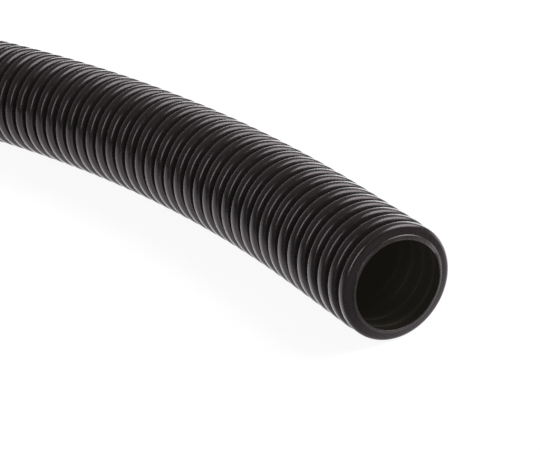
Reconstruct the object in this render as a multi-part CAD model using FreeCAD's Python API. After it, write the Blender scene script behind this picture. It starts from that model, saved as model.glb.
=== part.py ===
# Corrugated conduit, one metre of it, lying on the floor in the curve it takes off the roll.
# Lengths are in millimetres and angles in degrees. The floor is at Z = 0, and the origin is on it,
# under the middle of the box round the conduit.
# Both cut ends face -Y. The conduit starts at +X, runs along +Y and turns half a circle to the left.

import FreeCAD
import Part

import math
import os

doc = FreeCAD.newDocument("CorrugatedConduit")

sheet = doc.addObject("Spreadsheet::Sheet", "sizes")
driving_sizes = [
    ("stock_length", 1000.0, "length along the middle of the conduit"),
    ("outer_diameter", 21.2, "over the ribs"),
    ("rib_height", 1.75, "how far the ribs stand above the bottom of the grooves"),
    ("wall", 0.4, "thickness of the moulded wall"),
    ("nominal_pitch", 3.4, "rib spacing, before it is fitted to the length"),
    ("rib_width", 1.9, "one rib along the conduit, between its sides at the top"),
    ("groove_width", 0.85, "floor of one groove along the conduit"),
    ("corner_cut", 0.3, "bevel along both corners of a rib"),
    ("straight_ribs", 7.0, "ribs in the straight stretch at each end"),
    ("turn_angle", 180.0, "how far the conduit turns from end to end"),
]
for row, (name, value, meaning) in enumerate(driving_sizes, start=1):
    sheet.set("A%d" % row, name)
    sheet.set("B%d" % row, str(value))
    sheet.set("C%d" % row, meaning)
    sheet.setAlias("B%d" % row, name)
doc.recompute()

ALONG = FreeCAD.Vector(0, 1, 0)
UP = FreeCAD.Vector(0, 0, 1)
ORIGIN = FreeCAD.Vector(0, 0, 0)
HALF_TURN = 180
SEW_TOLERANCE = 1e-5


def size(name):
    return float(sheet.get(name))


def rib_count():
    """Whole ribs in the stock length, which is cut through the middle of a groove at both ends."""
    return round(size("stock_length") / size("nominal_pitch"))


def straight_rib_count():
    return round(size("straight_ribs"))


def pitch():
    """Rib spacing that fits whole ribs to the stock length."""
    return size("stock_length") / rib_count()


def end_straight():
    """Length of the straight stretch at each end."""
    return straight_rib_count() * pitch()


def bend_length():
    """Length of the bend along the middle of the conduit."""
    return size("stock_length") - 2 * end_straight()


def bend_radius():
    """Radius of the bend to the middle of the conduit."""
    return bend_length() / math.radians(size("turn_angle"))


def root_radius(outside):
    """Radius of the wall at the bottom of a groove, outside or inside."""
    outside_radius = size("outer_diameter") / 2 - size("rib_height")
    if outside:
        return outside_radius
    return outside_radius - size("wall")


def rib_section(outside):
    """The wall from mid-groove to mid-groove over one rib: places along the conduit, and radii there."""
    foot_radius = root_radius(outside)
    rise = size("rib_height")
    head_radius = foot_radius + rise
    run = (pitch() - size("rib_width") - size("groove_width")) / 2
    foot = size("groove_width") / 2
    head = foot + run
    if outside:
        cut = size("corner_cut")
        # the bevel takes as much off the side's height as off the top
        under_cut = head - run * cut / rise
        first_half = [
            (0, foot_radius),
            (foot, foot_radius),
            (under_cut, head_radius - cut),
            (head + cut, head_radius),
        ]
    else:
        # the inside runs parallel to the outside, one wall's thickness in
        shift = size("wall") * rise / (math.hypot(rise, run) + run)
        first_half = [
            (0, foot_radius),
            (foot + shift, foot_radius),
            (head + shift, head_radius),
        ]
    second_half = [(pitch() - place, radius) for place, radius in reversed(first_half)]
    return first_half + second_half


def facing_out(face, outside):
    """The face with its normal out of the wall: away from the middle line outside, towards it inside."""
    if not outside:
        face.reverse()
    return face


def straight_faces():
    """Faces of the straight stretch before the bend, each turned from one piece of the section."""
    cut_middle = FreeCAD.Vector(bend_radius(), -end_straight(), 0)
    # circles round the conduit begin at this side, so that all faces meet at the same seam
    seam = FreeCAD.Vector(1, 0, 0)
    faces = []
    for outside in (True, False):
        section = rib_section(outside)
        for index in range(straight_rib_count()):
            rib_start = cut_middle + ALONG * (index * pitch())
            for (place, radius), (next_place, next_radius) in zip(section, section[1:]):
                start = rib_start + ALONG * place + seam * radius
                stop = rib_start + ALONG * next_place + seam * next_radius
                face = Part.makeLine(start, stop).revolve(cut_middle, ALONG, 2 * HALF_TURN)
                faces.append(facing_out(face, outside))
    return faces


def circle_in_bend(place, radius):
    """A circle round the conduit, square to its middle line, with the bend's centre at the origin."""
    circle = Part.makeCircle(radius, ORIGIN, ALONG)
    circle.translate(FreeCAD.Vector(bend_radius(), 0, 0))
    circle.rotate(ORIGIN, UP, size("turn_angle") * place / bend_length())
    return circle


def first_rib_in_bend(outside):
    """Faces of the bend's first rib, between the circles of its section."""
    section = rib_section(outside)
    faces = []
    for (place, radius), (next_place, next_radius) in zip(section, section[1:]):
        start = circle_in_bend(place, radius)
        stop = circle_in_bend(next_place, next_radius)
        faces.append(facing_out(Part.makeRuledSurface(start, stop), outside))
    return faces


def bend_faces():
    """Faces of the bend: those of its first rib, repeated round the bend's centre."""
    ribs = rib_count() - 2 * straight_rib_count()
    step = size("turn_angle") / ribs
    faces = []
    for outside in (True, False):
        first_rib = first_rib_in_bend(outside)
        for index in range(ribs):
            for face in first_rib:
                turned = face.copy()
                turned.rotate(ORIGIN, UP, step * index)
                faces.append(turned)
    return faces


def cut_end():
    """The flat ring where the conduit is cut, in the middle of a groove."""
    centre = FreeCAD.Vector(bend_radius(), -end_straight(), 0)
    rims = [Part.Wire([Part.makeCircle(root_radius(outside), centre, ALONG)]) for outside in (True, False)]
    return Part.makeFace(rims, "Part::FaceMakerBullseye")


def conduit_shape():
    """The whole conduit as one closed solid, with the bend's centre at the origin."""
    first_end = straight_faces() + [cut_end()]
    other_end = []
    for face in first_end:
        turned = face.copy()
        turned.rotate(ORIGIN, ALONG, HALF_TURN)
        other_end.append(turned)
    skin = Part.Compound(first_end + bend_faces() + other_end)
    skin.sewShape(SEW_TOLERANCE)
    solid = Part.Solid(skin.Shells[0])
    if solid.Volume < 0:
        solid.reverse()
    return solid


def bend_centre():
    """Where the bend's centre goes, to bring the origin under the middle of the conduit's box."""
    outer_radius = size("outer_diameter") / 2
    front = -end_straight()
    back = bend_radius() + outer_radius
    return FreeCAD.Vector(0, -(front + back) / 2, outer_radius)


conduit = doc.addObject("Part::Feature", "conduit")
conduit.Label = "conduit"
conduit.Shape = conduit_shape()
conduit.Placement = FreeCAD.Placement(bend_centre(), FreeCAD.Rotation())
doc.recompute()

for item in doc.Objects:
    if "Invalid" in item.State or "Error" in item.State:
        raise RuntimeError("%s did not recompute" % item.Name)
shape = conduit.Shape
if shape.isNull() or not shape.isValid() or len(shape.Solids) != 1:
    raise RuntimeError("the conduit is not one valid solid")

os.makedirs("parts", exist_ok=True)
shape.exportStep("parts/conduit.step")
print("ribs", rib_count(), "pitch", pitch(), "bend radius", bend_radius(), "straight", end_straight())
print("bend centre", conduit.Placement.Base, "faces", len(shape.Faces), "volume", shape.Volume)
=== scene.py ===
# Looks of the corrugated conduit: black moulded plastic, cut by hand, lying on a white floor.
# Lengths are in metres, and MM is a millimetre. The conduit's sizes are those of its construction.
import math

import bpy
import numpy as np
from mathutils import Matrix, Vector


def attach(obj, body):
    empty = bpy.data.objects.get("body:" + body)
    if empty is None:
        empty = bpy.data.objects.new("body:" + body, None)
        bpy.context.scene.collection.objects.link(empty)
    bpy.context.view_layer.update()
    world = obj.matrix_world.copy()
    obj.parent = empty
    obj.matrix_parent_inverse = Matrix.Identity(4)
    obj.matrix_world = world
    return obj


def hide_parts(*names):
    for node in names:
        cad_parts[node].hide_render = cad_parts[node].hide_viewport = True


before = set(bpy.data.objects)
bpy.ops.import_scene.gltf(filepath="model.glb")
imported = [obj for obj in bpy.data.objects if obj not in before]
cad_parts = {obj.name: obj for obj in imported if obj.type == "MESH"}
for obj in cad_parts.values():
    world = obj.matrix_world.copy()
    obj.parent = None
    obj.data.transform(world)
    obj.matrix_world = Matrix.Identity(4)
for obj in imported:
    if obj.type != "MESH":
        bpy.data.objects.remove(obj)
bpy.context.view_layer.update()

MM = 0.001

# The conduit
STOCK_LENGTH = 1000 * MM
OUTER_RADIUS = 10.6 * MM
RIB_HEIGHT = 1.75 * MM
WALL = 0.4 * MM
RIBS = 294
STRAIGHT_RIBS = 7
RIB_WIDTH = 1.9 * MM
GROOVE_WIDTH = 0.85 * MM
PITCH = STOCK_LENGTH / RIBS
END_STRAIGHT = STRAIGHT_RIBS * PITCH
BEND_LENGTH = STOCK_LENGTH - 2 * END_STRAIGHT
BEND_RADIUS = BEND_LENGTH / math.pi
ROOT_RADIUS = OUTER_RADIUS - RIB_HEIGHT
SIDE_RUN = (PITCH - RIB_WIDTH - GROOVE_WIDTH) / 2
MOUTH_Y = -(BEND_RADIUS + OUTER_RADIUS + END_STRAIGHT) / 2
BEND_CENTRE_Y = MOUTH_Y + END_STRAIGHT

# Fine relief of the ribs
HEAD_RADIUS = 0.65 * MM
FOOT_RADIUS = 0.25 * MM
CROWN = 0.12 * MM
INNER_HEAD_RADIUS = 0.15 * MM
INNER_FOOT_RADIUS = 0.4 * MM
SHARP_ANGLE = math.radians(50)

# The hand-cut ends: a little inside the middle of the groove, with blunted lips. Angles round the
# conduit start at the right of its near end and go up. A face that ends on the limit of the cut's
# marks still has them, so what lies just over that limit counts too.
CUT_BACK = 0.3 * MM
CUT_REACH = 0.6 * MM
CUT_MARKS = 0.8 * MM
JUST_OVER = 1.01
OUTER_LIP = 0.18 * MM
INNER_LIP = 0.12 * MM
LIP_STEPS = 4

# The cut isn't quite even: it goes in and out in three waves round the conduit
CUT_WANDER = 0.06 * MM
CUT_WAVES = [
    {"count": 1, "share": 1, "start": 0.6},
    {"count": 3, "share": 0.5, "start": 1.9},
    {"count": 8, "share": 0.3, "start": 0.4},
]

# The knife left a nick at the right and a burr at the upper right, and it pressed the end in at the
# lower right as far as the first rib
NICK_ANGLE = math.radians(15)
NICK_WIDTH = math.radians(7)
NICK_DEPTH = 0.12 * MM
BURR_ANGLE = math.radians(60)
BURR_IN = 0.45 * MM
BURR_OUT = 0.3 * MM
BURR_FALL = 2
BURR_NARROWNESS = 3
PRESSED_ANGLE = math.radians(-45)
PRESSED_IN = 0.31 * MM
PRESSED_REACH = 1.5 * PITCH

# Stretches of the conduit, by how near they are to the camera and to a cut end
NEAR_RIBS = 48
END_RIBS = 16
FAR_STRETCHES = 4
NEAR_DETAIL = {"around": 96, "head_steps": 5, "foot_steps": 3, "longest": 0.45 * MM}
FAR_DETAIL = {"around": 64, "head_steps": 2, "foot_steps": 2, "longest": 0.7 * MM}
SHOWN_BORE_DETAIL = {"head_steps": 3, "foot_steps": 3, "longest": 1.0 * MM}
DEEP_BORE_DETAIL = {"head_steps": 0, "foot_steps": 0, "longest": 2.0 * MM}

# The surfaces of the nylon, in the order of their numbers: the outside, the bore and the cuts. The
# gloss is the least and most roughness, and the grain and marks are depths of relief.
SURFACES = [
    {
        "name": "black_nylon",
        "colour": (0.0162, 0.0125, 0.0124),
        "gloss": (0.18, 0.3),
        "shine": 0.45,
        "grain": 0.004 * MM,
        "marks": 0.002 * MM,
    },
    {
        "name": "black_nylon_bore",
        # painted shade: the bore's colour is darker and more olive than the outside's, for the dim
        # inside of the conduit
        "colour": (0.0105, 0.009, 0.007),
        "gloss": (0.42, 0.55),
        "shine": 0.08,
        "grain": 0.02 * MM,
        "marks": 0.004 * MM,
    },
    {
        "name": "black_nylon_cut",
        "colour": (0.027, 0.0235, 0.0225),
        "gloss": (0.22, 0.36),
        "shine": 0.5,
        "grain": 0.03 * MM,
        "marks": 0.001 * MM,
    },
]
OUTSIDE_FINISH, BORE_FINISH, CUT_FINISH = range(len(SURFACES))

# The nylon's unevenness: sizes of its spots and rings, and how many layers of noise make them
SHADE_SPOTS = {"size": 6 * MM, "layers": 3}
SHADE_SHARES = (0.75, 1.25)
GLOSS_SPOTS = {"size": 1.3 * MM, "layers": 4}
GLOSS_EDGES = (0.3, 0.7)
GRAIN_SPOTS = {"size": 0.32 * MM, "layers": 3}
MARK_RINGS = {"size": 0.16 * MM, "layers": 2}

# The nylon's reflections are faintly lilac
NYLON_IOR = 1.5
LILAC = (1, 0.89, 0.955, 1)

# Handled nylon is a little dusty, which shows as a pale edge
DUST = 0.12
DUST_ROUGHNESS = 0.25

# Painted light: the bore glows faintly olive though no lamp is in it, which lifts its dark inside
PAINTED_BORE_GLOW_COLOUR = (1, 0.9, 0.68, 1)
PAINTED_BORE_GLOW = 0.0064

# The camera, as the ribs and outlines of the photograph give it
PHOTO_WIDTH = 540
PHOTO_HEIGHT = 450
FOCAL_PIXELS = 1910.2
SENSOR_WIDTH = 36
CAMERA_HEADING = math.radians(26.86)
CAMERA_ELEVATION = math.radians(25.67)
CAMERA_ROLL = math.radians(-5.44)
MOUTH_PIXEL = (399.12, 284.66)
MOUTH_DEPTH = 316.6 * MM
NEAREST_SEEN = 10 * MM

# The floor. In reflections it is dim in front of the near end, less bright to its left than beside
# it and to its right, and brightest behind it on the right. Along each heading the brightness goes
# from the first share to the second between two edges, which are measured from the near end.
FLOOR_SIZE = 24
FLOOR_PAINT = (0.85, 0.85, 0.85, 1)
FLOOR_GLOW = 1.08
FLOOR_GLOW_SHARE = 0.85
FLOOR_GRADES = [
    {"heading": math.radians(25), "edges": (-14 * MM, 10 * MM), "shares": (0.05, 1)},
    {"heading": math.radians(90), "edges": (-60 * MM, -10 * MM), "shares": (0.8, 1.6)},
    {"heading": math.radians(60), "edges": (20 * MM, 60 * MM), "shares": (1, 1.5)},
]

# The studio in reflections: a room that is paler ahead, and a backdrop low down, straight ahead
WHITE = (1, 1, 1, 1)
ROOM = {"edges": (-0.7, 0.4), "shares": (0.04, 0.2)}
BACKDROP_AHEAD = {"edges": (0.45, 0.95), "shares": (0, 1)}
BACKDROP_LOW = {"edges": (0, 0.25), "shares": (2.9, 0)}

# The lamps, by the direction and distance that they have from the near end
SOFT_BOX = {
    "direction": (0.66, -0.22, 0.72),
    "distance": 1.6,
    "size": (1.35, 1.35),
    "power": 38,
    "long_side": (0, 0, 1),
}
FRONT_LAMP = {
    "direction": (-0.62, -0.59, 0.5),
    "distance": 1.2,
    "size": (0.24, 0.8),
    "power": 5,
    "long_side": (0.6, 0, 0.72),
}


def unit(vector):
    """The vector at a length of 1."""
    return vector / np.linalg.norm(vector)


def rounded(corners, radii, steps):
    """The line through the corners, with an arc of its own radius at each inner corner."""
    points = [corners[0]]
    turns = zip(corners, corners[1:], corners[2:], radii, steps)
    for before, corner, after, radius, count in turns:
        if count == 0:
            points.append(corner)
            continue
        back = unit(before - corner)
        on = unit(after - corner)
        turn = math.pi - math.acos(float(np.dot(back, on)))
        centre = corner + unit(back + on) * radius / math.cos(turn / 2)
        start = corner + back * radius * math.tan(turn / 2) - centre
        end = corner + on * radius * math.tan(turn / 2) - centre
        for step in range(count + 1):
            share = step / count
            arm = math.sin((1 - share) * turn) * start + math.sin(share * turn) * end
            points.append(centre + arm / math.sin(turn))
    points.append(corners[-1])
    return points


def divided(points, longest):
    """The same line with its long pieces cut into equal shorter ones."""
    line = [points[0]]
    for start, end in zip(points, points[1:]):
        count = max(1, math.ceil(np.linalg.norm(end - start) / longest))
        for step in range(1, count + 1):
            line.append(start + (end - start) * step / count)
    return np.array(line)


def rib_outline(outside, detail):
    """One rib from mid-groove to mid-groove: places along the conduit, and radii there."""
    foot = GROOVE_WIDTH / 2
    head = foot + SIDE_RUN
    foot_radius = ROOT_RADIUS
    head_arc = HEAD_RADIUS
    foot_arc = FOOT_RADIUS
    if not outside:
        # so far along, the wall is as thick up the rib's side as elsewhere
        shift = WALL * RIB_HEIGHT / (math.hypot(RIB_HEIGHT, SIDE_RUN) + SIDE_RUN)
        foot += shift
        head += shift
        foot_radius -= WALL
        head_arc = INNER_HEAD_RADIUS
        foot_arc = INNER_FOOT_RADIUS
    head_radius = foot_radius + RIB_HEIGHT
    corners = [
        (0, foot_radius),
        (foot, foot_radius),
        (head, head_radius),
        (PITCH - head, head_radius),
        (PITCH - foot, foot_radius),
        (PITCH, foot_radius),
    ]
    corners = [np.array(corner) for corner in corners]
    arcs = [foot_arc, head_arc, head_arc, foot_arc]
    up = [detail["foot_steps"], detail["head_steps"]]
    line = divided(rounded(corners, arcs, up + up[::-1]), detail["longest"])
    if outside:
        from_middle = np.clip(np.abs(line[:, 0] - PITCH / 2) / (RIB_WIDTH / 2), 0, 1)
        on_rib = (line[:, 1] - ROOT_RADIUS) / RIB_HEIGHT
        line[:, 1] -= CROWN * from_middle ** 2 * on_rib
    return line


def lip_outline(outside):
    """The blunted lip of a cut end: places from the cut, and radii there."""
    angle = np.linspace(0, math.pi / 2, LIP_STEPS + 1)
    back = 1 - np.cos(angle)
    off = 1 - np.sin(angle)
    if outside:
        return np.stack([OUTER_LIP * back, ROOT_RADIUS - OUTER_LIP * off], axis=1)
    return np.stack([INNER_LIP * back, ROOT_RADIUS - WALL + INNER_LIP * off], axis=1)


def stretch_outline(first_rib, last_rib, outside, detail):
    """The ribs from first to last, the last one left out, with a lip where the conduit is cut."""
    one_rib = rib_outline(outside, detail)
    ribs = [one_rib[:-1] + (PITCH * index, 0) for index in range(first_rib, last_rib)]
    line = np.vstack(ribs + [one_rib[-1:] + (PITCH * (last_rib - 1), 0)])
    lip = lip_outline(outside)
    if first_rib == 0:
        line = np.vstack([lip, line[1:]])
    if last_rib == RIBS:
        line = np.vstack([line[:-1], lip[::-1] * (-1, 1) + (STOCK_LENGTH, 0)])
    return line


def middle_line(along):
    """Points of the conduit's middle line and its headings, this far along from the near end."""
    before = np.minimum(along - END_STRAIGHT, 0)
    past = np.maximum(along - (STOCK_LENGTH - END_STRAIGHT), 0)
    turn = np.clip((along - END_STRAIGHT) / BEND_RADIUS, 0, math.pi)
    heading = np.stack([-np.sin(turn), np.cos(turn), np.zeros_like(turn)], axis=1)
    points = np.stack(
        [
            BEND_RADIUS * np.cos(turn),
            BEND_CENTRE_Y + BEND_RADIUS * np.sin(turn),
            np.full_like(turn, OUTER_RADIUS),
        ],
        axis=1,
    )
    return points + heading * (before + past)[:, None], heading


def rings(outline, around, burr):
    """A ring of points round the middle line for each point of the outline.

    The burr is 1 for a skin that has it at the cuts, and 0 for one that hasn't.
    """
    along = outline[:, 0]
    middle, heading = middle_line(along)
    side = np.stack([heading[:, 1], -heading[:, 0], heading[:, 2]], axis=1)
    angle = np.arange(around) * 2 * math.pi / around
    reach = np.cos(angle)[None, :, None] * side[:, None, :]
    reach[:, :, 2] += np.sin(angle)[None, :]
    raised_lip = burr * burr_share(along, angle)
    pressed_in = PRESSED_IN * pressed_share(along, angle)
    radius = outline[:, 1][:, None] - BURR_IN * raised_lip - pressed_in
    points = middle[:, None, :] + reach * radius[:, :, None]
    points[:, :, 1] += carried_back(along, angle) - BURR_OUT * raised_lip
    return points


def from_cut(along):
    """How far these places along the conduit are from the nearer cut."""
    return np.minimum(along, STOCK_LENGTH - along)


def facing(angle, chosen):
    """1 at the chosen angle round the conduit, and down to 0 on the other side of it."""
    return (1 + np.cos(angle - chosen)) / 2


def burr_share(along, angle):
    """How much of the burr is here: all of it at the cut's upper right, and none up the rib."""
    share = np.clip(1 - from_cut(along) / CUT_REACH, 0, 1) ** BURR_FALL
    return share[:, None] * (facing(angle, BURR_ANGLE) ** BURR_NARROWNESS)[None, :]


def pressed_share(along, angle):
    """How far the end is pressed in here: most at the lower right, and only to the first rib."""
    share = np.clip((PRESSED_REACH - from_cut(along)) / PITCH, 0, 1)
    return share[:, None] * facing(angle, PRESSED_ANGLE)[None, :]


def carried_back(along, angle):
    """How far the cut carries points back along +Y, less and less up the rib next to it."""
    share = np.clip((CUT_REACH - from_cut(along)) / (CUT_REACH - INNER_LIP), 0, 1)
    wander = np.zeros_like(angle)
    for wave in CUT_WAVES:
        wander += wave["share"] * np.sin(wave["count"] * angle + wave["start"])
    nick = NICK_DEPTH * np.exp(-((angle - NICK_ANGLE) / NICK_WIDTH) ** 2)
    return share[:, None] * (CUT_BACK + CUT_WANDER * wander - nick)[None, :]


def skin_faces(count, around, start, inward):
    """Four-sided faces between neighbouring rings, their points numbered from start."""
    ring, place = np.meshgrid(np.arange(count - 1), np.arange(around), indexing="ij")
    following = (place + 1) % around
    corners = [ring * around + place, (ring + 1) * around + place]
    corners += [(ring + 1) * around + following, ring * around + following]
    if inward:
        corners.reverse()
    return (np.stack(corners, axis=-1).reshape(-1, 4) + start).tolist()


def skin_finish(outline, around, marked, finish):
    """The material of each of those faces: the cut's as far as it marks the skin, then its own."""
    furthest = np.minimum(outline[1:, 0], STOCK_LENGTH - outline[:-1, 0])
    near_cut = furthest < marked * JUST_OVER
    return np.repeat(np.where(near_cut, CUT_FINISH, finish), around).tolist()


def end_faces(outer_start, outer_around, inner_start, facing_back):
    """Three-sided faces of the flat ring between a stretch's outer and inner skin.

    The outer skin has two points round it for each one of the inner skin.
    """
    inner_around = outer_around // 2
    faces = []
    for place in range(inner_around):
        near = outer_start + 2 * place
        middle = near + 1
        far = outer_start + (2 * place + 2) % outer_around
        inner = inner_start + place
        next_inner = inner_start + (place + 1) % inner_around
        faces += [(near, middle, inner), (middle, next_inner, inner), (middle, far, next_inner)]
    if facing_back:
        return faces
    return [face[::-1] for face in faces]


def make_stretch(name, first_rib, last_rib, detail, bore_detail):
    """A closed length of the conduit's wall, from one groove's middle to another's."""
    around = detail["around"]
    bore_around = around // 2
    outer_line = stretch_outline(first_rib, last_rib, True, detail)
    inner_line = stretch_outline(first_rib, last_rib, False, bore_detail)
    outer = rings(outer_line, around, burr=0)
    inner = rings(inner_line, bore_around, burr=1)
    inner_start = len(outer) * around
    last_outer = inner_start - around
    last_inner = inner_start + (len(inner) - 1) * bore_around
    faces = skin_faces(len(outer), around, 0, inward=False)
    faces += skin_faces(len(inner), bore_around, inner_start, inward=True)
    cuts = end_faces(0, around, inner_start, facing_back=True)
    cuts += end_faces(last_outer, around, last_inner, facing_back=False)
    finish = skin_finish(outer_line, around, OUTER_LIP, OUTSIDE_FINISH)
    finish += skin_finish(inner_line, bore_around, CUT_MARKS, BORE_FINISH)
    finish += [CUT_FINISH] * len(cuts)
    points = np.vstack([outer.reshape(-1, 3), inner.reshape(-1, 3)])
    mesh = bpy.data.meshes.new(name)
    mesh.from_pydata(points.tolist(), [], faces + cuts)
    mesh.polygons.foreach_set("material_index", finish)
    along_outside = np.repeat(outer_line[:, 0], around)
    along_bore = np.repeat(inner_line[:, 0], bore_around)
    along = np.concatenate([along_outside, along_bore])
    mesh.attributes.new("along", "FLOAT", "POINT").data.foreach_set("value", along)
    mesh.shade_smooth()
    mesh.set_sharp_from_angle(angle=SHARP_ANGLE)
    piece = bpy.data.objects.new(name, mesh)
    bpy.context.scene.collection.objects.link(piece)
    return piece


def math_node(tree, operation, first, second):
    """A Math node on two values, each a number or another node's output."""
    node = tree.nodes.new("ShaderNodeMath")
    node.operation = operation
    for socket, value in zip(node.inputs, (first, second)):
        if isinstance(value, (int, float)):
            socket.default_value = value
        else:
            tree.links.new(value, socket)
    return node.outputs[0]


def graded(tree, value, edges, shares):
    """Goes smoothly from the first share to the second while the value goes between the edges."""
    node = tree.nodes.new("ShaderNodeMapRange")
    node.interpolation_type = "SMOOTHSTEP"
    tree.links.new(value, node.inputs["Value"])
    names = ("From Min", "From Max", "To Min", "To Max")
    for name, number in zip(names, (*edges, *shares)):
        node.inputs[name].default_value = number
    return node.outputs[0]


def speckle(tree, size, layers):
    """Noise from 0 to 1 with spots of about this size."""
    node = tree.nodes.new("ShaderNodeTexNoise")
    node.inputs["Scale"].default_value = 1 / size
    node.inputs["Detail"].default_value = layers
    tree.links.new(tree.nodes["place"].outputs["Object"], node.inputs["Vector"])
    return node.outputs["Fac"]


def ring_marks(tree, size, layers):
    """Noise from 0 to 1 that changes only along the conduit, as marks that run round it."""
    along = tree.nodes.new("ShaderNodeAttribute")
    along.attribute_name = "along"
    node = tree.nodes.new("ShaderNodeTexNoise")
    node.noise_dimensions = "1D"
    node.inputs["Scale"].default_value = 1 / size
    node.inputs["Detail"].default_value = layers
    tree.links.new(along.outputs["Fac"], node.inputs["W"])
    return node.outputs["Fac"]


def raised(tree, height, depth, below=None):
    """The normal over a relief of this depth, on top of the relief below."""
    node = tree.nodes.new("ShaderNodeBump")
    node.inputs["Distance"].default_value = depth
    tree.links.new(height, node.inputs["Height"])
    if below:
        tree.links.new(below, node.inputs["Normal"])
    return node.outputs["Normal"]


def nylon(name, colour, gloss, shine, grain, marks):
    """Moulded black plastic with an uneven gloss, a fine grain and faint marks round it."""
    material = bpy.data.materials.new(name)
    material.use_nodes = True
    tree = material.node_tree
    tree.nodes.new("ShaderNodeTexCoord").name = "place"
    shader = tree.nodes["Principled BSDF"]
    shader.inputs["IOR"].default_value = NYLON_IOR
    shader.inputs["Specular IOR Level"].default_value = shine
    shader.inputs["Specular Tint"].default_value = LILAC
    shade = tree.nodes.new("ShaderNodeMix")
    shade.data_type = "RGBA"
    tree.links.new(speckle(tree, **SHADE_SPOTS), shade.inputs["Factor"])
    for socket, share in zip(("A", "B"), SHADE_SHARES):
        shade.inputs[socket].default_value = (*[part * share for part in colour], 1)
    tree.links.new(shade.outputs["Result"], shader.inputs["Base Color"])
    rubbed = graded(tree, speckle(tree, **GLOSS_SPOTS), GLOSS_EDGES, gloss)
    tree.links.new(rubbed, shader.inputs["Roughness"])
    relief = raised(tree, speckle(tree, **GRAIN_SPOTS), grain)
    relief = raised(tree, ring_marks(tree, **MARK_RINGS), marks, relief)
    tree.links.new(relief, shader.inputs["Normal"])
    return material


def finishes():
    """The materials of the conduit's surfaces, in the order of their numbers."""
    materials = [nylon(**surface) for surface in SURFACES]
    outside = materials[OUTSIDE_FINISH].node_tree.nodes["Principled BSDF"]
    outside.inputs["Sheen Weight"].default_value = DUST
    outside.inputs["Sheen Roughness"].default_value = DUST_ROUGHNESS
    # painted light: the bore is given a faint olive glow
    bore = materials[BORE_FINISH].node_tree.nodes["Principled BSDF"]
    bore.inputs["Emission Color"].default_value = PAINTED_BORE_GLOW_COLOUR
    bore.inputs["Emission Strength"].default_value = PAINTED_BORE_GLOW
    return materials


def make_conduit():
    """The whole conduit, as closed stretches that meet in the middles of grooves."""
    materials = finishes()
    starts = list(range(0, NEAR_RIBS, END_RIBS))
    far_step = (RIBS - NEAR_RIBS - END_RIBS) / FAR_STRETCHES
    starts += [NEAR_RIBS + round(far_step * index) for index in range(FAR_STRETCHES + 1)]
    starts.append(RIBS)
    for number, (first, last) in enumerate(zip(starts, starts[1:]), start=1):
        detail = NEAR_DETAIL if last <= NEAR_RIBS else FAR_DETAIL
        bore_detail = SHOWN_BORE_DETAIL if first == 0 or last == RIBS else DEEP_BORE_DETAIL
        piece = make_stretch("conduit_stretch_%d" % number, first, last, detail, bore_detail)
        for material in materials:
            piece.data.materials.append(material)
        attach(piece, "root")
        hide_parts("conduit")


def make_camera():
    """The photograph's camera, placed by where the near mouth's middle shows in it."""
    level = Vector((math.sin(CAMERA_HEADING), math.cos(CAMERA_HEADING), 0))
    level_right = Vector((math.cos(CAMERA_HEADING), -math.sin(CAMERA_HEADING), 0))
    forward = level * math.cos(CAMERA_ELEVATION) - Vector((0, 0, math.sin(CAMERA_ELEVATION)))
    level_up = level_right.cross(forward)
    right = level_right * math.cos(CAMERA_ROLL) + level_up * math.sin(CAMERA_ROLL)
    up = right.cross(forward)
    across = (MOUTH_PIXEL[0] - PHOTO_WIDTH / 2) / FOCAL_PIXELS
    down = (MOUTH_PIXEL[1] - PHOTO_HEIGHT / 2) / FOCAL_PIXELS
    mouth = Vector((BEND_RADIUS, MOUTH_Y + CUT_BACK, OUTER_RADIUS))
    place = mouth - MOUTH_DEPTH * (forward + across * right - down * up)
    data = bpy.data.cameras.new("photo_camera")
    data.sensor_width = SENSOR_WIDTH
    data.lens = FOCAL_PIXELS / PHOTO_WIDTH * SENSOR_WIDTH
    data.clip_start = NEAREST_SEEN
    camera = bpy.data.objects.new("photo_camera", data)
    turn = Matrix((right, up, -forward)).transposed().to_4x4()
    camera.matrix_world = Matrix.Translation(place) @ turn
    bpy.context.scene.collection.objects.link(camera)
    bpy.context.scene.camera = camera


def towards(tree, vector, heading):
    """How far a place or direction lies along a level heading."""
    node = tree.nodes.new("ShaderNodeVectorMath")
    node.operation = "DOT_PRODUCT"
    tree.links.new(vector, node.inputs[0])
    node.inputs[1].default_value = (math.sin(heading), math.cos(heading), 0)
    return node.outputs["Value"]


def white_floor_material():
    """White to the camera, brighter and dimmer round the conduit in reflections, and shaded."""
    material = bpy.data.materials.new("white_floor")
    material.use_nodes = True
    tree = material.node_tree
    nodes = tree.nodes
    nodes.remove(nodes["Principled BSDF"])
    paint = nodes.new("ShaderNodeBsdfDiffuse")
    paint.inputs["Color"].default_value = FLOOR_PAINT
    path = nodes.new("ShaderNodeLightPath").outputs
    reflected = math_node(tree, "MAXIMUM", path["Is Glossy Ray"], path["Is Transmission Ray"])
    shown = math_node(tree, "MAXIMUM", path["Is Camera Ray"], reflected)
    mirrored = math_node(tree, "SUBTRACT", 1, path["Is Camera Ray"])
    place = nodes.new("ShaderNodeNewGeometry").outputs["Position"]
    for grade in FLOOR_GRADES:
        heading = grade["heading"]
        near_end = BEND_RADIUS * math.sin(heading) + MOUTH_Y * math.cos(heading)
        edges = [near_end + edge for edge in grade["edges"]]
        share = graded(tree, towards(tree, place, heading), edges, grade["shares"])
        mirrored = math_node(tree, "MULTIPLY", mirrored, share)
    strength = math_node(tree, "ADD", mirrored, path["Is Camera Ray"])
    glow = nodes.new("ShaderNodeEmission")
    tree.links.new(math_node(tree, "MULTIPLY", strength, FLOOR_GLOW), glow.inputs["Strength"])
    mix = nodes.new("ShaderNodeMixShader")
    tree.links.new(math_node(tree, "MULTIPLY", shown, FLOOR_GLOW_SHARE), mix.inputs["Fac"])
    tree.links.new(paint.outputs[0], mix.inputs[1])
    tree.links.new(glow.outputs[0], mix.inputs[2])
    tree.links.new(mix.outputs[0], nodes["Material Output"].inputs["Surface"])
    return material


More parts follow.
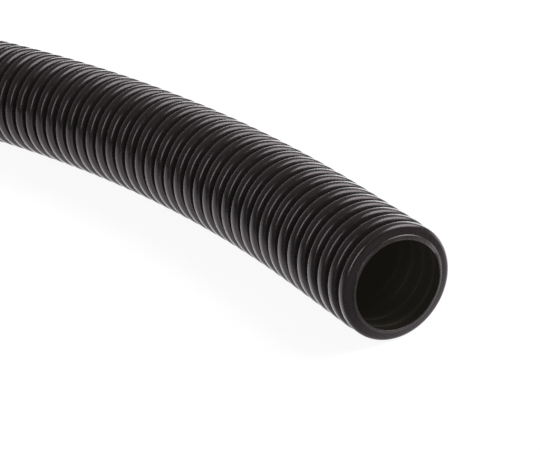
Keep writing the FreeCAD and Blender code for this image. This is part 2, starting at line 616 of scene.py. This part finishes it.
def make_floor():
    """The plain floor, which isn't part of the conduit."""
    bpy.ops.mesh.primitive_plane_add(size=FLOOR_SIZE, location=(0, 0, 0))
    floor = bpy.context.object
    floor.name = "floor"
    floor.data.materials.append(white_floor_material())


def make_lamp(name, direction, distance, size, power, long_side):
    """An oblong lamp that shines on the near end, with its second side roughly along long_side."""
    data = bpy.data.lights.new(name, "AREA")
    data.shape = "RECTANGLE"
    data.size, data.size_y = size
    data.energy = power
    lamp = bpy.data.objects.new(name, data)
    back = Vector(direction).normalized()
    across = Vector(long_side).cross(back).normalized()
    turn = Matrix((across, back.cross(across), back)).transposed().to_4x4()
    aim = Vector((BEND_RADIUS, MOUTH_Y, OUTER_RADIUS))
    lamp.matrix_world = Matrix.Translation(aim + back * distance) @ turn
    lamp.visible_camera = False
    bpy.context.scene.collection.objects.link(lamp)


def make_studio():
    """White to the camera, and to the conduit a dim room with a pale backdrop low behind it."""
    world = bpy.data.worlds.new("studio")
    world.use_nodes = True
    tree = world.node_tree
    direction = tree.nodes.new("ShaderNodeTexCoord").outputs["Generated"]
    height = tree.nodes.new("ShaderNodeSeparateXYZ")
    tree.links.new(direction, height.inputs[0])
    ahead = towards(tree, direction, CAMERA_HEADING)
    room = graded(tree, ahead, **ROOM)
    straight_ahead = graded(tree, ahead, **BACKDROP_AHEAD)
    low = graded(tree, height.outputs["Z"], **BACKDROP_LOW)
    backdrop = math_node(tree, "MULTIPLY", straight_ahead, low)
    lit_room = math_node(tree, "ADD", room, backdrop)
    path = tree.nodes.new("ShaderNodeLightPath")
    sky = tree.nodes["Background"]
    sky.inputs["Color"].default_value = WHITE
    strength = math_node(tree, "MAXIMUM", lit_room, path.outputs["Is Camera Ray"])
    tree.links.new(strength, sky.inputs["Strength"])
    bpy.context.scene.world = world


def make_lights():
    """The studio round the conduit, and its two lamps."""
    make_studio()
    make_lamp("soft_box", **SOFT_BOX)
    make_lamp("front_lamp", **FRONT_LAMP)


make_camera()
make_conduit()
make_floor()
make_lights()

bpy.context.scene.view_settings.view_transform = "Standard"
